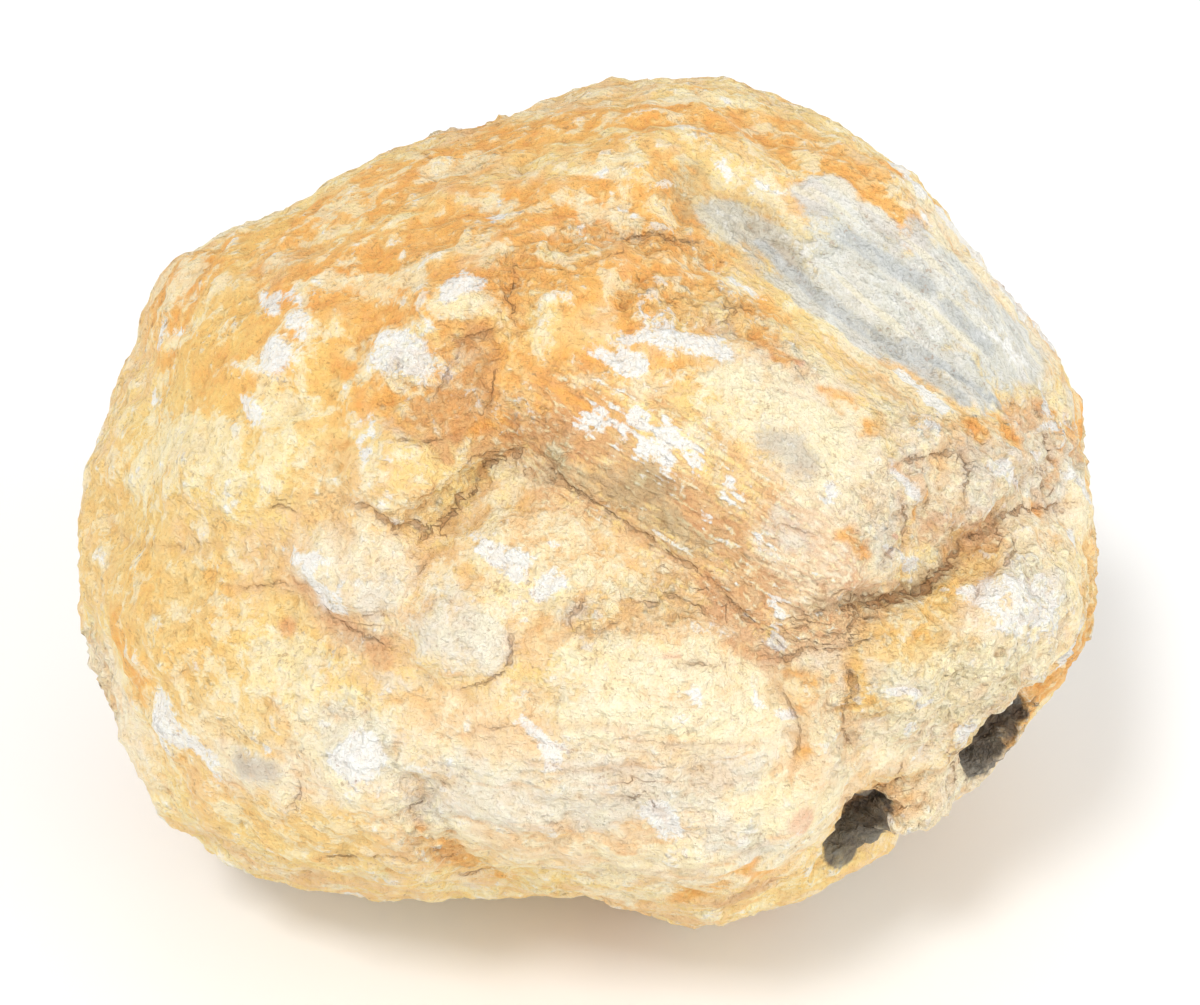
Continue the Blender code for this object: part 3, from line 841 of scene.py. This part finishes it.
class Bench:
    # adds nodes to one material
    def __init__(self, material):
        self.tree = material.node_tree

    def node(self, kind, settings, inputs):
        made = self.tree.nodes.new(kind)
        for name, value in settings.items():
            setattr(made, name, value)
        for name, value in inputs.items():
            if isinstance(value, Value):
                value = value.socket
            if isinstance(value, bpy.types.NodeSocket):
                self.tree.links.new(value, made.inputs[name])
            else:
                made.inputs[name].default_value = value
        return made

    def value(self, kind, settings, inputs, output=0):
        return Value(self, self.node(kind, settings, inputs).outputs[output])

    def field(self, name):
        return self.value("ShaderNodeAttribute", {"attribute_name": name}, {}, "Fac")

    def noise(self, where, scale, detail, roughness=0.5, distortion=0.0):
        return self.value("ShaderNodeTexNoise", {}, {
            "Vector": where, "Scale": scale, "Detail": detail,
            "Roughness": roughness, "Distortion": distortion,
        }, "Fac")

    def cells(self, where, scale):
        # distance to the nearest of scattered middles
        settings = {"distance": "MANHATTAN"}
        return self.value("ShaderNodeTexVoronoi", settings, {"Vector": where, "Scale": scale})

    def shaken(self, where, amount, scale):
        # the same place moved about by a noise
        wave = self.node("ShaderNodeTexNoise", {}, {"Vector": where, "Scale": scale, "Detail": 0})
        move = self.node("ShaderNodeVectorMath", {"operation": "MULTIPLY_ADD"}, {
            0: wave.outputs["Color"], 1: (amount,) * 3, 2: where,
        })
        return move.outputs[0]

    def ramp(self, value, low, high):
        # 0 below low, 1 above high, smooth between
        return self.value("ShaderNodeMapRange", {"interpolation_type": "SMOOTHSTEP"}, {
            "Value": value, "From Min": low, "From Max": high,
        })

    def mix(self, share, first, second, blend="MIX"):
        return self.node("ShaderNodeMix", {"data_type": "RGBA", "blend_type": blend}, {
            0: share, 6: first, 7: second,
        }).outputs[2]

    def turned(self, where, axis, stretch):
        # the same place measured along axis, with patterns drawn out by stretch
        turn = Vector(axis).to_track_quat("X", "Z").to_euler()
        return self.node("ShaderNodeMapping", {"vector_type": "TEXTURE"}, {
            "Vector": where, "Rotation": turn, "Scale": stretch,
        }).outputs[0]


noises = {  # scale, detail, roughness, distortion
    "cloud": (36, 1), "mottle": (112, 2, 0.62), "island": (150, 2, 0.65, 0.4), "fleck": (330, 2, 0.68),
    "grain": (1150, 2, 0.7), "fibres": (760, 1, 0.7), "streaks": (320, 1, 0.7), "bands": (420, 1, 0.7),
}
finish = {
    "cream": (0.90, 0.68, 0.295, 1),
    "pale": (0.93, 0.81, 0.48, 1),
    "sand": (0.85, 0.58, 0.32, 1),
    "bone": (0.89, 0.785, 0.605, 1),
    "peach": (0.87, 0.57, 0.28, 1),
    "milk": (0.94, 0.84, 0.57, 1),
    "ochre": (0.90, 0.48, 0.12, 1),
    "orange": (0.87, 0.38, 0.07, 1),
    "lemon": (0.90, 0.63, 0.22, 1),
    "chalk": (0.88, 0.87, 0.82, 1),
    "quartz": (0.60, 0.63, 0.61, 1),
    "quartzPale": (0.73, 0.745, 0.71, 1),
    # blue-grey of the painted shade along the slab's trench
    "trenchShade": (0.50, 0.53, 0.53, 1),
    "beige": (0.52, 0.47, 0.40, 1),
    "rust": (0.62, 0.32, 0.15, 1),
    "olive": (0.40, 0.33, 0.19, 1),
    "blush": (0.72, 0.24, 0.14, 1),
    "grainDark": (0.30, 0.23, 0.17, 1),
    "grainLight": (0.74, 0.74, 0.74, 1),
    # dirt colour, also used for painted shade in the hollows and cracks
    "dirtAndShade": (0.34, 0.16, 0.05, 1),
    # colour of the painted shade inside the two hollows
    "dark": (0.10, 0.094, 0.086, 1),
    "roughness": 0.88,
}


def crustFinish():
    material = bpy.data.materials.new("geode_crust")
    material.use_nodes = True
    bench = Bench(material)
    field, ramp = bench.field, bench.ramp
    colour = finish

    def over(tone, share, name):
        return bench.mix(share, tone, colour[name])

    shader = material.node_tree.nodes["Principled BSDF"]
    where = bench.node("ShaderNodeTexCoord", {}, {}).outputs["Object"]

    plain = ("cloud", "mottle", "island", "fleck", "grain")
    cloud, mottle, island, fleck, grain = (bench.noise(where, *noises[name]) for name in plain)
    mottled = mottle - 0.5
    islands = island - 0.5
    fibres = bench.noise(bench.turned(where, ridgeWay, (4, 1, 1)), *noises["fibres"])
    streaks = bench.noise(bench.turned(where, slabWay, (9, 1, 1)), *noises["streaks"])
    bands = bench.noise(bench.turned(where, (1, 0, 0), (5, 5, 1)), *noises["bands"])

    hollow = field("hollow")
    basin = field("basin")
    stain = field("stain")
    layer = ramp(field("layer"), 0.2, 0.6)
    fibre = ramp(field("fibre") + mottled * 0.4, 0.35, 0.65)
    slab = ramp(field("slab") + mottled * 0.2, 0.35, 0.55)
    crag = ramp(field("crag") + mottled * 0.6, 0.25, 0.6)
    speckle = (fleck - 0.5) * 0.6 + (grain - 0.5) * 0.5
    crumbs = bench.cells(bench.shaken(where, 1.6 * mm, 420), 430)

    # Each colour goes over what is there: a field or noise, made ragged by finer noises, says where,
    # and the factor after it says how strongly.
    # body colour: cream, paler and sandier in clouds
    tone = over(colour["cream"], ramp(mottle + speckle * 0.8, 0.46, 0.7), "pale")
    sand = ramp(cloud - mottled * 0.6 + speckle * 1.2, 0.42, 0.68)
    tone = over(tone, sand * 0.85, "sand")
    # bone-coloured stone where it is least stained
    bone = ramp(field("bone") + mottled * 0.7 + speckle * 0.4, 0.2, 0.75)
    tone = over(tone, bone * 0.85, "bone")
    tone = over(tone, layer * ramp(bands, 0.42, 0.3) * 0.7, "sand")
    # yellow and milky islands a few millimetres across
    yolk = ramp(island + speckle * 0.35 - hollow * 0.05, 0.5, 0.36)
    tone = over(tone, yolk * (0.45 - bone * 0.25), "peach")
    froth = ramp(island + speckle * 0.5 - hollow * 0.15, 0.53, 0.63)
    # ochre staining, with orange where it is strongest
    peach = ramp(field("peach") + mottled * 1.8 + speckle * 0.8, 0.2, 0.9)
    tone = over(tone, peach * 0.6, "peach")
    sink = hollow * 0.25 + basin * 0.04
    broken = mottled * 2.4 - islands * 2.2 + sink
    stained = ramp(stain * 1.05 + broken + speckle * 0.8, 0.1, 1.1)
    tone = over(tone, stained * 0.8, "ochre")
    deep = ramp(stain - mottled * 1.2 - islands * 1.6 + speckle * 1.4 + sink, 0.55, 1.15)
    tone = over(tone, deep * 0.46, "orange")
    lemon = ramp(field("lemon") + mottled * 1.2 - islands * 1.2, 0.2, 0.9)
    tone = over(tone, lemon * 0.58, "lemon")
    # a milky veil over all of it
    veil = ramp(fleck + mottled * 0.9 + (cloud - 0.5) * 0.4, 0.5, 0.72)
    tone = over(tone, veil * 0.25, "pale")
    tone = over(tone, froth * 0.5, "milk")
    milk = field("milk") + mottled * 1.6 + islands * 1.6 + speckle * 1.2
    milk = ramp(milk, 0.35, 0.8)
    tone = over(tone, milk * 0.6, "milk")
    # the fibrous flank
    tone = over(tone, fibre * ramp(fibres + speckle * 0.4, 0.36, 0.58) * 0.5, "rust")
    rust = ramp(field("rust") + (fibres - 0.5) * 0.9 + speckle * 0.9, 0.3, 0.8)
    tone = over(tone, rust * 0.5, "rust")
    olive = ramp(field("olive") + (fibres - 0.5) * 1.1 + speckle, 0.15, 1.0)
    tone = over(tone, fibre * ramp(fibres + speckle * 0.8, 0.56, 0.72) * 0.7, "pale")
    # grey quartz showing through
    grey = ramp(field("grey") + (streaks - 0.5) * 0.6 + speckle * 0.8, 0.3, 0.8)
    quartz = over(colour["quartz"], ramp(streaks + speckle * 0.5, 0.36, 0.62), "quartzPale")
    tone = bench.mix(grey * (0.35 + 0.5 * slab), tone, quartz)
    tone = over(tone, slab * ramp(streaks, 0.57, 0.66) * 0.25, "pale")
    tone = over(tone, olive * (0.6 - slab * 0.2), "olive")
    # blue-grey painted shade along the slab's trench and ledges
    trenchShade = ramp(field("trenchShade") + (streaks - 0.5) * 0.9 + speckle * 0.3, 0.35, 0.85)
    tone = over(tone, trenchShade * 0.75, "trenchShade")
    beige = ramp(field("beige") + speckle * 0.9 + islands * 0.8, 0.15, 0.95)
    tone = over(tone, beige * 0.7, "beige")
    blush = ramp(field("blush") + speckle * 0.7, 0.42, 0.85)
    tone = over(tone, blush * 0.4, "blush")
    # chalk crusts, in ragged patches and dusted over the high grains
    ragged = field("chalk") + mottled * 0.8 + islands * 1.0 + speckle * 1.6
    ragged = ragged + (fibres - 0.5) * fibre * 2.0
    chalk = ramp(ragged, 0.32, 0.72) * (0.55 + grain * 0.7)
    dust = ramp(speckle + mottled * 0.9 - hollow * 0.45, 0.2, 0.36)
    tone = over(tone, (chalk + dust * 0.5).clamped(), "chalk")
    # rust in the creases between the crumbs, and pale crumbs
    crease = ramp(crumbs + speckle * 0.5, 0.6, 1.1) * (0.08 + crag * 0.1)
    tone = over(tone, (crease * (1 - slab)).clamped(), "rust")
    crumb = ramp(crumbs - speckle * 0.5, 0.62, 0.2) * (0.12 + crag * 0.6)
    tone = over(tone, (crumb * (0.9 - stained * 0.5)).clamped(), "milk")
    # every grain a little lighter or darker than the next
    shift = ramp(speckle, -0.26, 0.26)
    tone = bench.mix(0.34, tone, bench.mix(shift, colour["grainDark"], colour["grainLight"]), "OVERLAY")
    # painted shade in the hollows, in a dirt colour; more rust where the stone is broadly sunk; cracks drawn
    # dark, partly dirt and partly painted shade
    hollowShade = ramp(hollow - speckle * 0.5 - crag * 0.2, 0.15, 0.8)
    tone = over(tone, hollowShade * 0.27, "dirtAndShade")
    sunk = ramp(basin, 0.3, 3.5)
    tone = over(tone, sunk * (0.12 - bone * 0.08), "rust")
    wobble = (fleck - 0.5) * 1.0 + (grain - 0.5) * 0.8
    edge = field("crackWidth") * (fleck * 8.0 - 3.4) - (field("crack") + wobble).size()
    crack = ramp(edge, -0.25, 0.25) * ramp(field("crackWidth"), 0.02, 0.3)
    faint = 0.25 + field("crackWidth") * 0.6
    # the crack lines darkened, partly dirt in them and partly painted shade
    tone = over(tone, (crack * faint * (1 - slab * 0.9)).clamped(), "dirtAndShade")
    halo = ramp(edge, -1.8, 0.2)
    tone = over(tone, halo * (0.24 - slab * 0.24), "rust")
    # dark specks and pits
    pit = ramp(grain - fleck * 0.6 + mottle * 0.35, 0.52, 0.64)
    tone = over(tone, pit * 0.45, "dirtAndShade")
    # painted shade inside the two hollows, kept off where the stone bulges
    shade = ramp(field("shade") + speckle * 0.4, 0.36, 0.6)
    shade = shade * ramp(basin + speckle, -1.8, -0.4)
    tone = over(tone, shade * (1.05 - fleck * 0.35), "dark")
    bench.tree.links.new(tone, shader.inputs["Base Color"])

    gloss = grey * slab * 0.25 + beige * 0.3
    bench.tree.links.new((colour["roughness"] - gloss).socket, shader.inputs["Roughness"])

    # fine relief in mm, rougher in some clouds than in others
    rough = 0.3 + crag * 0.35 + ramp(mottle + (cloud - 0.5) * 0.8, 0.42, 0.62) * 0.4
    height = grain * (1.05 + crag * 0.2) - crumbs * rough * 1.1
    height = height + fleck * (1.1 + crag * 0.15) + bands * (0.1 + layer * 1.2)
    height = height + fibres * fibre * 1.2 + streaks * slab * 0.9 - crack * 0.6 - pit * 0.2
    bump = bench.node("ShaderNodeBump", {}, {"Height": height, "Distance": mm, "Strength": 1.0})
    bench.tree.links.new(bump.outputs[0], shader.inputs["Normal"])
    return material


crust.data.materials.clear()
crust.data.materials.append(crustFinish())
crust.data.update()
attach(crust, "root")
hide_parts("geode")
print("finish on:", len(crust.data.vertices), "points")

# ---- studio ----

studio = {
    "floorSide": 30.0,
    "floorColour": (0.93, 0.93, 0.925, 1),
    "worldStrength": 0.62,
    "lens": 100,
    "sensor": 36,
    "cameraShift": (0.00233, 0.0001),  # metres to the right and up of the front sight
}

bpy.ops.mesh.primitive_plane_add(size=studio["floorSide"])
floor = bpy.context.object
floor.name = "floor"
floorMaterial = bpy.data.materials.new("floor")
floorMaterial.use_nodes = True
floorShader = floorMaterial.node_tree.nodes["Principled BSDF"]
floorShader.inputs["Base Color"].default_value = studio["floorColour"]
floorShader.inputs["Roughness"].default_value = 0.9
floor.data.materials.append(floorMaterial)

world = bpy.data.worlds.new("studio")
bpy.context.scene.world = world
world.use_nodes = True
background = world.node_tree.nodes["Background"]
background.inputs["Color"].default_value = (1.0, 1.0, 1.0, 1)
background.inputs["Strength"].default_value = studio["worldStrength"]

lamps = {  # direction from the stone, distance and side of the lamp in metres, watts
    "key": ((-0.25, -0.45, 0.85), 4.8, 0.96, 92),
    "fill": ((1.00, -0.50, 0.30), 5.1, 4.5, 131),
    "soft": ((-1.00, -0.25, 0.25), 5.1, 4.5, 56),
    "low": ((0.30, -1.00, 0.05), 5.1, 4.5, 48),
    "top": ((0.20, 0.60, 1.00), 5.1, 4.5, 38),
}
for name, (direction, distance, side, watts) in lamps.items():
    bpy.ops.object.light_add(type="AREA", location=middle + Vector(direction).normalized() * distance)
    lamp = bpy.context.object
    lamp.name = name
    lamp.rotation_euler = Vector(direction).to_track_quat("Z", "Y").to_euler()
    lamp.data.size = side
    lamp.data.energy = watts
    lamp.visible_camera = False

front = sights["front"]
bpy.ops.object.camera_add()
camera = bpy.context.object
aside, above = studio["cameraShift"]
camera.location = front["eye"] + front["right"] * aside + front["up"] * above
camera.rotation_euler = (-front["towards"]).to_track_quat("-Z", "Y").to_euler()
camera.data.lens = studio["lens"]
camera.data.sensor_width = studio["sensor"]
bpy.context.scene.camera = camera
bpy.context.scene.view_settings.view_transform = "Standard"
